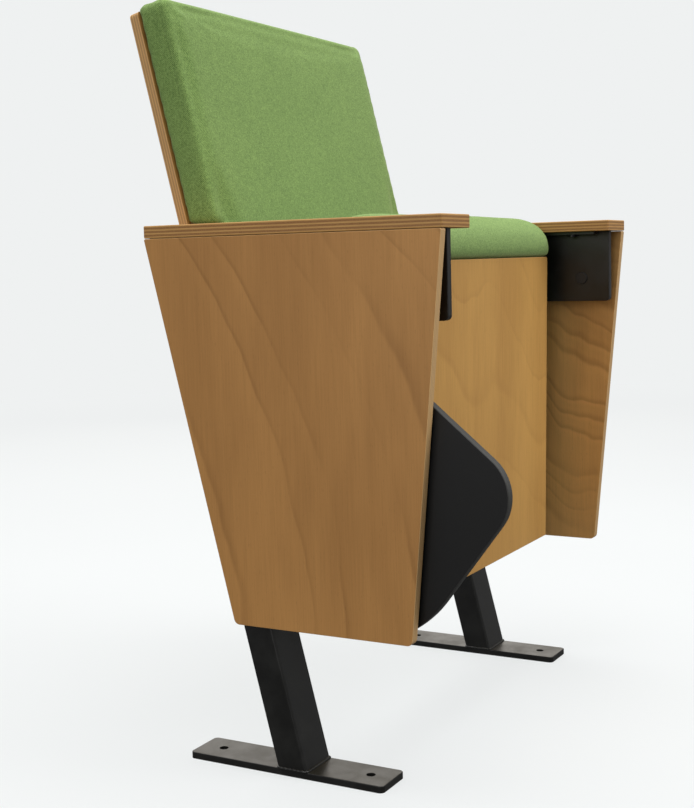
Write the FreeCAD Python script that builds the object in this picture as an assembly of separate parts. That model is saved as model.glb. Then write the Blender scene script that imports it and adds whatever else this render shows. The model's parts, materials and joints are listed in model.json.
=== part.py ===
"""Tip-up lecture-hall seat with a folding writing tablet.

Millimetres, +Z up. X runs across the seat, Y runs from the front of the seat to its back.
The origin is on the floor, at the centre of the four floor-bolt holes.
"Left" and "right" are the sitter's: right is -X, the side that stores the tablet.
"depth" is the distance behind the front face of the armrests.
Paired parts are drawn once, on the left (+X), and mirrored to the right.
"""
import FreeCAD, Part
import math
import os

V = FreeCAD.Vector
ORIGIN = V(0, 0, 0)
X_AXIS = V(1, 0, 0)
Z_AXIS = V(0, 0, 1)

# ---- driving dimensions ------------------------------------------------------------------

# overall
half_width = 308.3            # centre plane to the outer face of a side panel
armrest_top = 640.0
clearance = 0.3               # gap between parts that rest on each other across a joint
running_fit = 0.05            # radial clearance of a pin in its bush

# floor plates and legs
bolt_depth_front = 120.4
bolt_depth_rear = 322.9
bolt_hole_radius = 5.5
foot_depth_front = 91.0
foot_depth_rear = 353.5
foot_thickness = 8.0
leg_depth_at_floor = 187.5    # front face of the leg, produced down to the floor
leg_slope = 0.25              # rearward lean per unit of height
leg_size_x = 55.0
leg_size_y = 39.4
leg_wall = 2.5
leg_corner = 3.0

# side panels and armrests
panel_thickness = 12.0
panel_bottom = 177.5
panel_front_top = 0.75
panel_front_bottom = 44.4
panel_rear_top = 382.5
panel_rear_bottom = 273.2
armrest_width = 73.5
armrest_thickness = 14.5
armrest_length = 382.9
armrest_gap = 0.5

# black plates that carry the armrests and the tablet pivot
support_outer = 275.7
support_thickness = 10.0
support_front = 9.2
support_bottom = 527.5
rail_width = 18.7
rail_thickness = 4.0

# seat, drawn about its pivot: "up" is along the seat from rear to front, "back" is towards the sitter
seat_half_width = 230.0
seat_pivot_depth = 119.4
seat_pivot_height = 366.0
seat_rest_lean = 1.0          # degrees that the tipped-up seat leans forward
seat_open_angle = 85.0
seat_underside = -28.0
seat_ply = 12.0
seat_rear_end = -173.0
seat_ply_front_end = 226.0
seat_top = 77.0
seat_nose = 281.0
seat_end_rounding = 26.0
seat_board_back = 34.0
seat_board_thickness = 9.0

# seat hinge, as distances from the centre plane
bracket_outer = half_width - panel_thickness - leg_size_x
bracket_thickness = 5.0
hinge_plate_inner = 222.0
hinge_plate_thickness = 4.0
pivot_radius = 7.0
bush_radius = 10.0
stop_circle = 34.0
stop_lug_radius = 5.0
stop_buffer_radius = 6.0
stop_lug_angle = -60.0

# backrest, drawn on its own plane: "rise" along the board, "out" behind its rear face
back_half_width = 249.0
back_neck_half_width = 230.0
back_lean = 13.67             # degrees
back_depth = 373.5            # rear face of the board at armrest height
back_ply = 12.5
back_top = 262.0
back_bottom = -208.0
back_cushion_top = 270.0
back_cushion_bottom = -204.0
back_cushion_thickness = 39.0
back_board_thickness = 7.0
shoulder_height = 641.0

# writing tablet, drawn from the arm pivot: "along" the fold line, "reach" away from the pivot
tablet_pivot_depth = 50.0
tablet_pivot_height = 560.0
tablet_swing = 150.0
tablet_fold_reach = 100.0
tablet_edge_reach = 109.0
tablet_outer = 292.0
tablet_thickness = 12.0
tablet_far_reach = 320.0
tablet_back_along = 276.0
fold_axis_x = 290.0
arm_outer = 289.0
arm_thickness = 5.0
arm_pivot_radius = 6.0
knuckle_radius = 5.0
fold_pin_radius = 3.0

# ---- derived places ----------------------------------------------------------------------

front_y = -(bolt_depth_front + bolt_depth_rear) / 2
panel_inner = half_width - panel_thickness
armrest_inner = half_width - armrest_width
armrest_bottom = armrest_top - armrest_thickness
panel_top = armrest_bottom - armrest_gap
leg_outer = panel_inner
leg_inner = leg_outer - leg_size_x
leg_middle = (leg_outer + leg_inner) / 2
support_inner = support_outer - support_thickness
bracket_inner = bracket_outer - bracket_thickness
hinge_plate_outer = hinge_plate_inner + hinge_plate_thickness
seat_pivot_y = front_y + seat_pivot_depth
tablet_inner = tablet_outer - tablet_thickness


def leg_front(height):
    """Depth of the leg's front face at a height."""
    return leg_depth_at_floor + leg_slope * height


# ---- drawing helpers ---------------------------------------------------------------------

def box(x0, x1, y0, y1, z0, z1):
    """Box between two corners."""
    return Part.makeBox(x1 - x0, y1 - y0, z1 - z0, V(x0, y0, z0))


def rounded_wire(corners):
    """Closed wire through corners (point, radius); each corner is an arc of its radius."""
    count = len(corners)
    stretches = []
    for index, (point, radius) in enumerate(corners):
        before = (corners[index - 1][0] - point).normalize()
        after = (corners[(index + 1) % count][0] - point).normalize()
        if radius <= 0:
            stretches.append((point, None, point))
            continue
        half_angle = before.getAngle(after) / 2
        tangent = radius / math.tan(half_angle)
        middle_line = (before + after).normalize()
        middle = point + middle_line * (radius / math.sin(half_angle) - radius)
        stretches.append((point + before * tangent, middle, point + after * tangent))
    edges = []
    for index, (start, middle, end) in enumerate(stretches):
        if middle is not None:
            edges.append(Part.Arc(start, middle, end).toShape())
        following = stretches[(index + 1) % count][0]
        if end.distanceToPoint(following) > 1e-4:
            edges.append(Part.LineSegment(end, following).toShape())
    return Part.Wire(edges)


def plate_yz(corners, x0, x1):
    """Plate between two X planes whose outline is a list of (y, z, corner radius)."""
    wire = rounded_wire([(V(x0, y, z), radius) for y, z, radius in corners])
    return Part.Face(wire).extrude(V(x1 - x0, 0, 0))


def plate_xy(corners, z0, z1):
    """Plate between two Z planes whose outline is a list of (x, y, corner radius)."""
    wire = rounded_wire([(V(x, y, z0), radius) for x, y, radius in corners])
    return Part.Face(wire).extrude(V(0, 0, z1 - z0))


def plate_xz(corners, y0, y1):
    """Plate between two Y planes whose outline is a list of (x, z, corner radius)."""
    wire = rounded_wire([(V(x, y0, z), radius) for x, z, radius in corners])
    return Part.Face(wire).extrude(V(0, y1 - y0, 0))


def rod(start, end, radius):
    """Cylinder between two points."""
    line = end - start
    return Part.makeCylinder(radius, line.Length, start, line)


def rod_x(y, z, radius, x0, x1):
    """Cylinder along X."""
    return Part.makeCylinder(radius, x1 - x0, V(x0, y, z), X_AXIS)


def ring_x(y, z, outer, inner, x0, x1):
    """Ring or tube along X."""
    return rod_x(y, z, outer, x0, x1).cut(rod_x(y, z, inner, x0 - 1, x1 + 1))


def ease(shape, radius, wanted=lambda edge: True):
    """Round the wanted edges of a shape."""
    edges = [edge for edge in shape.Edges if wanted(edge)]
    return shape.makeFillet(radius, edges)


def screw(tip, direction, length, shank, head, head_height):
    """Pan-head screw: its shank ends at the tip, its head stands on the far end."""
    axis = V(direction).normalize()
    seat = tip - axis * length
    body = rod(seat, tip, shank)
    cap = rod(seat - axis * head_height, seat, head)
    socket = rod(seat - axis * (head_height + 1), seat - axis * (head_height / 2), head * 0.42)
    return body.fuse(cap).cut(socket)


def shank_hole(tip, direction, length, shank):
    """Space that a screw's shank fills."""
    axis = V(direction).normalize()
    return rod(tip - axis * length, tip, shank)


def hex_nut(y, z, corner_radius, x0, height):
    """Solid hexagon along X, standing for a nut on its bolt."""
    turns = [math.radians(60 * step) for step in range(7)]
    points = [V(x0, y + corner_radius * math.cos(turn), z + corner_radius * math.sin(turn)) for turn in turns]
    return Part.Face(Part.makePolygon(points)).extrude(V(height, 0, 0))


def mirrored(shape):
    """The same part on the right side."""
    return shape.mirror(ORIGIN, X_AXIS)


def pair(name, shape):
    """Write a part for the left side and its mirror image for the right."""
    write(name + "_left", shape)
    write(name + "_right", mirrored(shape))


def both(shapes):
    """Solids of the left side and their mirror images, as one group."""
    return Part.makeCompound(list(shapes) + [mirrored(shape) for shape in shapes])


def write(name, shape):
    """Write one node."""
    if not shape.isValid() or not shape.Solids:
        raise ValueError("bad shape: " + name)
    shape.exportStep("parts/" + name + ".step")


def seat_place(shape):
    """Move a shape from the seat's own frame (x, back, up) to its tipped-up place."""
    placed = shape.copy()
    placed.rotate(ORIGIN, X_AXIS, seat_rest_lean)
    placed.translate(V(0, seat_pivot_y, seat_pivot_height))
    return placed


def back_place(shape):
    """Move a shape from the backrest's own frame (x, out, rise) to its place."""
    placed = shape.copy()
    placed.rotate(ORIGIN, X_AXIS, -back_lean)
    placed.translate(V(0, front_y + back_depth, armrest_top))
    return placed


def tablet_place(shape):
    """Move a shape from the tablet's own frame (x, along, reach) to its stored place."""
    placed = shape.copy()
    placed.rotate(ORIGIN, X_AXIS, -tablet_swing)
    placed = placed.mirror(ORIGIN, V(0, 1, 0))
    placed.translate(V(0, front_y + tablet_pivot_depth, tablet_pivot_height))
    return placed


# ---- floor plates and legs ---------------------------------------------------------------

def foot_plate():
    outline = [
        (leg_inner, front_y + foot_depth_front, 6),
        (leg_outer, front_y + foot_depth_front, 6),
        (leg_outer, front_y + foot_depth_rear, 6),
        (leg_inner, front_y + foot_depth_rear, 6),
    ]
    plate = plate_xy(outline, 0, foot_thickness)
    plate = ease(plate, 1.0, lambda edge: edge.BoundBox.ZMin > foot_thickness - 0.01)
    for depth in (bolt_depth_front, bolt_depth_rear):
        hole = Part.makeCylinder(bolt_hole_radius, foot_thickness + 2, V(leg_middle, front_y + depth, -1))
        plate = plate.cut(hole)
    return plate


panel_screw_heights = (230.0, 470.0, 608.0)


def panel_screws():
    """Screws from inside each leg into the side panel."""
    screws = []
    for height in panel_screw_heights:
        tip = V(leg_outer + 9, front_y + leg_front(height) + leg_size_y / 2, height)
        screws.append(screw(tip, X_AXIS, 9 + leg_wall, 2.5, 4.8, 3.2))
    return screws


def leg():
    """Rectangular tube that leans back, open at both ends."""
    rise = armrest_bottom - foot_thickness

    def section(inset, corner):
        front = front_y + leg_front(foot_thickness)
        x0, x1 = leg_inner + inset, leg_outer - inset
        y0, y1 = front + inset, front + leg_size_y - inset
        corners = ((x0, y0), (x1, y0), (x1, y1), (x0, y1))
        wire = rounded_wire([(V(x, y, foot_thickness), corner) for x, y in corners])
        return Part.Face(wire).extrude(V(0, leg_slope * rise, rise))

    tube = section(0, leg_corner).cut(section(leg_wall, 1.0))
    for height in panel_screw_heights:
        y = front_y + leg_front(height) + leg_size_y / 2
        tube = tube.cut(rod_x(y, height, 2.5, leg_outer - 5, leg_outer + 5))
        tube = tube.cut(rod_x(y, height, 6.5, leg_inner - 5, leg_inner + 5))
    for y, height in seat_bracket_bolt_places() + back_bracket_bolt_places():
        tube = tube.cut(rod_x(y, height, 4.0, leg_inner - 5, leg_inner + 5))
    return tube


# ---- side panels and armrests ------------------------------------------------------------

angle_depth = 215.0
angle_leg = 15.0
angle_sheet = 2.5
angle_screw_tips = (
    (V(panel_inner + 9, front_y + angle_depth, armrest_bottom - 20), X_AXIS),
    (V(panel_inner - 9, front_y + angle_depth, armrest_bottom + 9), Z_AXIS),
)


def side_panel():
    outline = [
        (front_y + panel_front_top, panel_top, 2),
        (front_y + panel_rear_top, panel_top, 2),
        (front_y + panel_rear_bottom, panel_bottom, 7),
        (front_y + panel_front_bottom, panel_bottom, 7),
    ]
    panel = plate_yz(outline, panel_inner, half_width)
    panel = ease(panel, 0.8, lambda edge: edge.BoundBox.XLength < 0.01)
    for height in panel_screw_heights:
        tip = V(leg_outer + 9, front_y + leg_front(height) + leg_size_y / 2, height)
        panel = panel.cut(shank_hole(tip, X_AXIS, 12, 2.5))
    tip, direction = angle_screw_tips[0]
    return panel.cut(shank_hole(tip, direction, 12, 2.0))


rail_screw_depths = (60.0, 170.0, 290.0)
rail_screw_x = support_inner - rail_width / 2


def armrest():
    outline = [
        (armrest_inner, front_y, 3),
        (half_width, front_y, 3),
        (half_width, front_y + armrest_length, 3),
        (armrest_inner, front_y + armrest_length, 3),
    ]
    board = plate_xy(outline, armrest_bottom, armrest_top)
    board = ease(board, 1.2, lambda edge: edge.BoundBox.ZLength < 0.01)
    for depth in rail_screw_depths:
        board = board.cut(shank_hole(V(rail_screw_x, front_y + depth, armrest_bottom + 10), Z_AXIS, 12, 2.5))
    tip, direction = angle_screw_tips[1]
    return board.cut(shank_hole(tip, direction, 11, 2.0))


def armrest_screws():
    screws = []
    for depth in rail_screw_depths:
        tip = V(rail_screw_x, front_y + depth, armrest_bottom + 10)
        screws.append(screw(tip, Z_AXIS, 10 + rail_thickness, 2.5, 4.8, 3.2))
    return screws


def panel_angle():
    """Small steel angle that ties the top of the side panel to the armrest."""
    y0, y1 = front_y + angle_depth - 20, front_y + angle_depth + 20
    upper = box(panel_inner - angle_leg, panel_inner, y0, y1, armrest_bottom - angle_sheet, armrest_bottom)
    side = box(panel_inner - angle_sheet, panel_inner, y0, y1, armrest_bottom - 28, armrest_bottom)
    angle = upper.fuse(side).removeSplitter()
    for tip, direction in angle_screw_tips:
        angle = angle.cut(shank_hole(tip, direction, 15, 2.0))
    return angle


def angle_screws():
    return [screw(tip, direction, 9 + angle_sheet, 2.0, 3.8, 2.4) for tip, direction in angle_screw_tips]


def support_plate():
    """Black plate that stands out from the front of a leg and carries the armrest."""
    outline = [
        (front_y + support_front, armrest_bottom, 0),
        (front_y + leg_front(armrest_bottom), armrest_bottom, 0),
        (front_y + leg_front(support_bottom), support_bottom, 0),
        (front_y + support_front, support_bottom, 6),
    ]
    plate = plate_yz(outline, support_inner, support_outer)
    return ease(plate, 1.0, lambda edge: edge.BoundBox.XLength < 0.01
                and edge.BoundBox.YMin < front_y + 200
                and edge.BoundBox.ZMin < armrest_bottom - 1)


def armrest_rail():
    """Flat bar along the support plate, screwed up into the armrest."""
    underside = armrest_bottom - rail_thickness
    y0, y1 = front_y + 25, front_y + leg_front(underside) - 5
    bar = box(support_inner - rail_width, support_inner, y0, y1, underside, armrest_bottom)
    for depth in rail_screw_depths:
        bar = bar.cut(shank_hole(V(rail_screw_x, front_y + depth, armrest_bottom + 10), Z_AXIS, 20, 2.5))
    return bar


# ---- seat hinge --------------------------------------------------------------------------

def seat_bracket_bolt_places():
    return [(front_y + leg_front(height) + leg_size_y / 2, height) for height in (366.0, 412.0)]


def on_stop_circle(angle):
    """Point (y, z) on the stop circle, at an angle from straight back towards up."""
    turn = math.radians(angle)
    return (seat_pivot_y + stop_circle * math.cos(turn), seat_pivot_height + stop_circle * math.sin(turn))


def buffer_offset():
    """Angle between the stop lug and a buffer that it just meets."""
    reach = stop_lug_radius + stop_buffer_radius + clearance
    return 2 * math.degrees(math.asin(reach / (2 * stop_circle)))


def buffer_places():
    closed = stop_lug_angle + seat_rest_lean - buffer_offset()
    opened = stop_lug_angle + seat_rest_lean + seat_open_angle + buffer_offset()
    return [on_stop_circle(closed), on_stop_circle(opened)]


def seat_bracket():
    """Plate bolted to the inside of a leg, reaching forward to the seat pivot."""
    outline = [
        (front_y + 100, 322, 14),
        (front_y + 100, 408, 14),
        (front_y + 180, 420, 40),
        (front_y + 322, 436, 8),
        (front_y + 306, 342, 8),
        (front_y + 180, 318, 40),
    ]
    plate = plate_yz(outline, bracket_inner, bracket_outer)
    plate = ease(plate, 0.8, lambda edge: edge.BoundBox.XLength < 0.01)
    holes = [(seat_pivot_y, seat_pivot_height, pivot_radius)]
    holes += [(y, z, 4.0) for y, z in seat_bracket_bolt_places()]
    for y, z, radius in holes:
        plate = plate.cut(rod_x(y, z, radius, bracket_inner - 1, bracket_outer + 1))
    return plate


def bracket_bolt(y, z):
    """Button-head bolt into a nut inside the leg."""
    bolt = screw(V(leg_inner + 14, y, z), X_AXIS, 14 + bracket_thickness, 4.0, 7.0, 3.4)
    return bolt.fuse(hex_nut(y, z, 7.2, leg_inner + leg_wall, 6.5))


def seat_pivot_pin():
    """Headed pin from the bracket into the seat, grooved for its retaining ring."""
    shank = rod_x(seat_pivot_y, seat_pivot_height, pivot_radius, 187, bracket_outer)
    head = rod_x(seat_pivot_y, seat_pivot_height, 12, bracket_outer, bracket_outer + 4)
    groove = ring_x(seat_pivot_y, seat_pivot_height, pivot_radius + 1, pivot_radius - 0.8, 190, 191.2)
    return ease(head, 1.0, lambda edge: edge.BoundBox.XMin > bracket_outer + 3.9).fuse(shank).cut(groove)


def retaining_ring():
    ring = ring_x(seat_pivot_y, seat_pivot_height, pivot_radius + 3, pivot_radius - 0.8, 190.05, 191.15)
    mouth = box(189, 192, seat_pivot_y - 3, seat_pivot_y + 3, seat_pivot_height, seat_pivot_height + 20)
    return ring.cut(mouth)


def thrust_washer():
    return ring_x(seat_pivot_y, seat_pivot_height, 13, pivot_radius, 228.8, bracket_inner)


def stop_buffers():
    """Rubber buffers on the bracket: one for the tipped-up seat, one for the open seat."""
    return [rod_x(y, z, stop_buffer_radius, seat_half_width + 1, bracket_inner) for y, z in buffer_places()]


def lug_place():
    turn = math.radians(stop_lug_angle)
    return (stop_circle * math.cos(turn), stop_circle * math.sin(turn))


hinge_screw_ups = (-40.0, 40.0)


def seat_hinge_plate():
    """Steel angle inside the seat's side: it holds the bush and carries the stop lug."""
    foot = seat_underside + seat_ply
    outline = [(foot, -55, 4), (foot, 55, 4), (40, 55, 12), (40, -55, 12)]
    side = plate_yz(outline, hinge_plate_inner, hinge_plate_outer)
    flange = box(184, hinge_plate_outer - 1, foot, foot + 3.5, -50, 50)
    lug_y, lug_z = lug_place()
    lug = rod_x(lug_y, lug_z, stop_lug_radius, hinge_plate_inner, bracket_inner - 0.8)
    plate = side.fuse(flange).fuse(lug).removeSplitter()
    plate = plate.cut(rod_x(0, 0, bush_radius, hinge_plate_inner - 1, hinge_plate_outer + 1))
    for up in hinge_screw_ups:
        plate = plate.cut(rod(V(200, foot - 1, up), V(200, foot + 5, up), 2.25))
    return plate


def hinge_screws():
    foot = seat_underside + seat_ply
    return [screw(V(200, foot - 9, up), V(0, -1, 0), 12.5, 2.25, 4.2, 2.6) for up in hinge_screw_ups]


def seat_bush():
    """Flanged nylon bush pressed into the hinge plate."""
    tube = rod_x(0, 0, bush_radius, 214, hinge_plate_outer)
    flange = rod_x(0, 0, 15, hinge_plate_outer, hinge_plate_outer + 2.5)
    return tube.fuse(flange).cut(rod_x(0, 0, pivot_radius + running_fit, 200, 240))


def return_spring():
    """Torsion spring round the pivot pin, with its two legs."""
    wire_radius = 1.2
    coil_radius = 9.6
    pitch = 3.0
    turns = 5
    coil = Part.Wire(Part.makeHelix(pitch, pitch * turns, coil_radius).Edges)
    profile = Part.Wire(Part.makeCircle(wire_radius, V(coil_radius, 0, 0), V(0, 1, 0)))
    spring = Part.Wire(coil).makePipeShell([profile], True, True)
    lower_leg = rod(V(coil_radius, 0, 0), V(coil_radius, -22, 0), wire_radius)
    upper_leg = rod(V(coil_radius, 0, pitch * turns), V(coil_radius, 24, pitch * turns), wire_radius)
    spring = spring.fuse(lower_leg).fuse(upper_leg)
    spring.rotate(ORIGIN, V(0, 1, 0), 90)
    spring.rotate(ORIGIN, X_AXIS, -90)
    spring.translate(V(194.5, 0, 0))
    return spring


# ---- seat --------------------------------------------------------------------------------

def seat_underside_panel():
    foot = seat_underside + seat_ply
    panel = box(-seat_half_width, seat_half_width, seat_underside, foot, seat_rear_end, seat_ply_front_end)
    panel = ease(panel, 3.0, lambda edge: edge.BoundBox.YLength > seat_ply - 0.1)
    panel = ease(panel, 0.8, lambda edge: edge.BoundBox.YMax < seat_underside + 0.01)
    for x in (-200, 200):
        for up in hinge_screw_ups:
            panel = panel.cut(rod(V(x, foot - 9, up), V(x, foot + 1, up), 2.25))
    return panel


def seat_batten(up):
    foot = seat_underside + seat_ply
    return box(-215, 215, foot, seat_board_back, up, up + 26)


def seat_board():
    back = seat_board_back + seat_board_thickness
    board = box(-218, 218, seat_board_back, back, seat_rear_end + 10, 219)
    for x in (-150, -50, 50, 150):
        board = board.cut(rod(V(x, seat_board_back - 1, 0), V(x, back + 1, 0), 12))
    return board


def seat_cushion():
    """Foam block with a full nose, hollow over the hinge and the inner board."""
    foot = seat_underside + seat_ply
    bottom = seat_rear_end + 3
    outline = [
        (foot, bottom, 2),
        (foot, seat_ply_front_end + 3, 0),
        (seat_underside - 5, seat_ply_front_end + 3, 4),
        (seat_underside - 5, seat_nose, 46),
        (seat_top, seat_nose, 54),
        (seat_top, bottom, 26),
    ]
    block = plate_yz(outline, -seat_half_width, seat_half_width)
    front_view = [
        (-seat_half_width, bottom, 10),
        (seat_half_width, bottom, 10),
        (seat_half_width, seat_nose, seat_end_rounding),
        (-seat_half_width, seat_nose, seat_end_rounding),
    ]
    plan_view = [
        (-seat_half_width, seat_underside - 5, 10),
        (seat_half_width, seat_underside - 5, 10),
        (seat_half_width, seat_top, 16),
        (-seat_half_width, seat_top, 16),
    ]
    block = block.common(plate_xz(front_view, seat_underside - 6, seat_top + 1))
    block = block.common(plate_xy(plan_view, bottom - 1, seat_nose + 1))
    back = seat_board_back + seat_board_thickness
    pocket = box(-221, 221, foot - 1, back + 0.5, seat_rear_end + 8, 221)
    block = block.cut(pocket)
    for side in (-1, 1):
        x0, x1 = sorted((side * 218, side * (seat_half_width + 1)))
        block = block.cut(box(x0, x1, foot - 1, 48, -62, 62))
    return block


# ---- backrest ----------------------------------------------------------------------------

back_screw_places = ((207.0, -120.0), (207.0, -65.0))
back_tab_thickness = 4.0


def shoulder_cut(shape):
    """Narrow the backrest below armrest height, so that it passes between the armrests."""
    for side in (-1, 1):
        x0, x1 = sorted((side * back_neck_half_width, side * (back_half_width + 20)))
        shape = shape.cut(box(x0, x1, front_y + 150, front_y + 500, 300, shoulder_height))
    return shape


def back_holes(shape):
    for x, rise in back_screw_places:
        for side in (-1, 1):
            shape = shape.cut(rod(V(side * x, -9, rise), V(side * x, 5, rise), 2.25))
    return shape


def backrest_panel():
    board = box(-back_half_width, back_half_width, -back_ply, 0, back_bottom, back_top)
    board = ease(board, 6.0, lambda edge: edge.BoundBox.YLength > back_ply - 0.1 and edge.BoundBox.ZMin > 0)
    board = ease(board, 0.8, lambda edge: edge.BoundBox.YMin > -0.01)
    return shoulder_cut(back_place(back_holes(board)))


def backrest_board():
    """Board inside the cushion that its cover is stapled to."""
    front = -back_ply - back_board_thickness
    return back_place(box(-222, 222, front, -back_ply, back_bottom + 14, back_top - 12))


def backrest_cushion():
    front = -back_ply - back_cushion_thickness
    block = box(-back_half_width, back_half_width, front, -back_ply, back_cushion_bottom, back_cushion_top)
    block = ease(block, 16.0, lambda edge: edge.BoundBox.YLength > 10 and edge.BoundBox.ZMin > 0)
    block = ease(block, 9.0, lambda edge: edge.BoundBox.YMax < front + 0.01 and edge.BoundBox.ZMax > 0)
    pocket = box(-222.5, 222.5, -back_ply - back_board_thickness - 0.5, 1, back_bottom + 13, back_top - 11)
    return shoulder_cut(back_place(block.cut(pocket)))


def back_bracket_bolt_places():
    """Ahead of the middle of the leg, so that the bolt heads clear the bracket behind the board."""
    ahead = 2.2
    return [(front_y + leg_front(height) + leg_size_y / 2 - ahead, height) for height in (515.0, 585.0)]


def backrest_bracket():
    """Steel angle: one leg on the inside of the tube, one behind the backrest board."""
    low, high = -144.0, -42.0
    side = box(bracket_inner, bracket_outer, -22, 9, low, high)
    tab = box(192, bracket_outer, 0, back_tab_thickness, low, high)
    angle = side.fuse(tab).removeSplitter()
    for x, rise in back_screw_places:
        angle = angle.cut(rod(V(x, -1, rise), V(x, 6, rise), 2.25))
    angle = back_place(angle)
    for y, z in back_bracket_bolt_places():
        angle = angle.cut(rod_x(y, z, 4.0, bracket_inner - 1, bracket_outer + 1))
    return angle


def backrest_screws():
    return [back_place(screw(V(x, -9, rise), V(0, -1, 0), 9 + back_tab_thickness, 2.25, 4.4, 2.6))
            for x, rise in back_screw_places]


# ---- writing tablet ----------------------------------------------------------------------

knuckle_ends = (62.0, 76.0, 116.0, 130.0)
leaf_screw_places = ((84.0, 130.0), (108.0, 130.0), (84.0, 152.0), (108.0, 152.0))
stop_pin_place = (39.0, 587.9)


def tablet_board():
    """Rounded board; its corner nearest the sitter's knee is the one that stands out in front."""
    outline = [
        (40.0, tablet_edge_reach, 10),
        (-10.2, 247.2, 52),
        (161.3, tablet_far_reach, 144),
        (tablet_back_along, tablet_far_reach, 85),
        (tablet_back_along, tablet_edge_reach, 35),
    ]
    board = plate_yz(outline, -tablet_outer, -tablet_inner)
    board = ease(board, 1.5, lambda edge: edge.BoundBox.XLength < 0.01)
    for along, reach in leaf_screw_places:
        board = board.cut(rod_x(along, reach, 1.75, -tablet_inner - 8, -tablet_inner + 1))
    return board


def tablet_leaf():
    """Hinge leaf on the inner face of the tablet, with the middle knuckle."""
    sheet = 3.0
    low, high = knuckle_ends[1] + 0.5, knuckle_ends[2] - 0.5
    edge = tablet_edge_reach + 1
    outline = [(70, edge, 0), (122, edge, 0), (122, 165, 8), (70, 165, 8)]
    plate = plate_yz(outline, -tablet_inner, -tablet_inner + sheet)
    neck = box(-tablet_inner, -tablet_inner + sheet, low, high, tablet_fold_reach + 1, tablet_edge_reach + 2)
    web = box(-fold_axis_x, -tablet_inner + sheet, low, high, tablet_fold_reach + 1, tablet_fold_reach + 4.5)
    axis_from = V(-fold_axis_x, low, tablet_fold_reach)
    axis_to = V(-fold_axis_x, high, tablet_fold_reach)
    leaf = plate.fuse(neck).fuse(web).fuse(rod(axis_from, axis_to, knuckle_radius)).removeSplitter()
    leaf = leaf.cut(rod(axis_from - V(0, 1, 0), axis_to + V(0, 1, 0), fold_pin_radius + running_fit))
    for along, reach in leaf_screw_places:
        leaf = leaf.cut(rod_x(along, reach, 1.75, -tablet_inner - 1, -tablet_inner + sheet + 1))
    return leaf


def leaf_screws():
    direction = V(-1, 0, 0)
    return [screw(V(-tablet_inner - 8, along, reach), direction, 11, 1.75, 3.4, 2.0)
            for along, reach in leaf_screw_places]


def tablet_arm():
    """Cranked plate that carries the tablet from its pivot round the front of the armrest."""
    x0, x1 = -arm_outer, -arm_outer + arm_thickness
    outline = [
        (-21.1, 8.1, 15.9),
        (-8.1, -21.1, 15.9),
        (94.0, 22.0, 18),
        (knuckle_ends[3], tablet_fold_reach, 0),
        (knuckle_ends[0], tablet_fold_reach, 0),
        (58.5, 43.6, 8),
    ]
    arm = plate_yz(outline, x0, x1)
    notch_reach = tablet_fold_reach - 16
    arm = arm.cut(box(x0 - 1, x1 + 1, knuckle_ends[1], knuckle_ends[2], notch_reach, notch_reach + 26))
    for start, end in (knuckle_ends[0:2], knuckle_ends[2:4]):
        arm = arm.fuse(rod(V(-fold_axis_x, start, tablet_fold_reach), V(-fold_axis_x, end, tablet_fold_reach),
                           knuckle_radius))
    arm = arm.cut(rod(V(-fold_axis_x, 50, tablet_fold_reach), V(-fold_axis_x, 140, tablet_fold_reach),
                      fold_pin_radius))
    return arm.cut(rod_x(0, 0, arm_pivot_radius + running_fit, x0 - 1, x1 + 1))


def fold_pin():
    return rod(V(-fold_axis_x, knuckle_ends[0] - 2, tablet_fold_reach),
               V(-fold_axis_x, knuckle_ends[3] + 2, tablet_fold_reach), fold_pin_radius)


def arm_pivot_bolt():
    """Shoulder bolt through the support plate, with its nut."""
    head = rod_x(0, 0, 11, -panel_inner + 1.7, -arm_outer - 2.5)
    head = ease(head, 0.8, lambda edge: edge.BoundBox.XMax < -panel_inner + 1.8)
    shank = rod_x(0, 0, arm_pivot_radius, -arm_outer - 3, -support_inner + 9)
    return head.fuse(shank).fuse(hex_nut(0, 0, 10.5, -support_inner, 7.5))


def arm_washer():
    return ring_x(0, 0, 13, arm_pivot_radius, -arm_outer - 2.4, -arm_outer - 0.1)


def friction_disc():
    return ring_x(0, 0, 15, arm_pivot_radius, -arm_outer + arm_thickness + 0.1, -support_outer)


def pivot_plug():
    """Plastic plug in the unused tablet pivot hole of the left support plate."""
    y, z = front_y + tablet_pivot_depth, tablet_pivot_height
    head = rod_x(y, z, 8.5, support_inner - 1.8, support_inner)
    head = ease(head, 0.8, lambda edge: edge.BoundBox.XMax < support_inner - 1.7)
    return head.fuse(rod_x(y, z, arm_pivot_radius, support_inner - 1, support_inner + 8))


def stop_pin():
    """Pin in the support plate that stops the arm when the tablet is up."""
    depth, height = stop_pin_place
    return rod_x(front_y + depth, height, 4, -arm_outer - 0.5, -support_inner - 2)


def tablet_rest():
    """Stud on the leg and its rubber tip, where the stored tablet's rear edge lies."""
    reach = 160.0
    touch = V(-tablet_outer + tablet_thickness / 2, tablet_back_along + clearance, reach)
    tip = rod(touch, touch + V(0, 16, 0), 7)
    stud = rod(touch + V(0, 16, 0), touch + V(0, 90, 0), 4)
    return tip, stud


# ---- write every node --------------------------------------------------------------------

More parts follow.
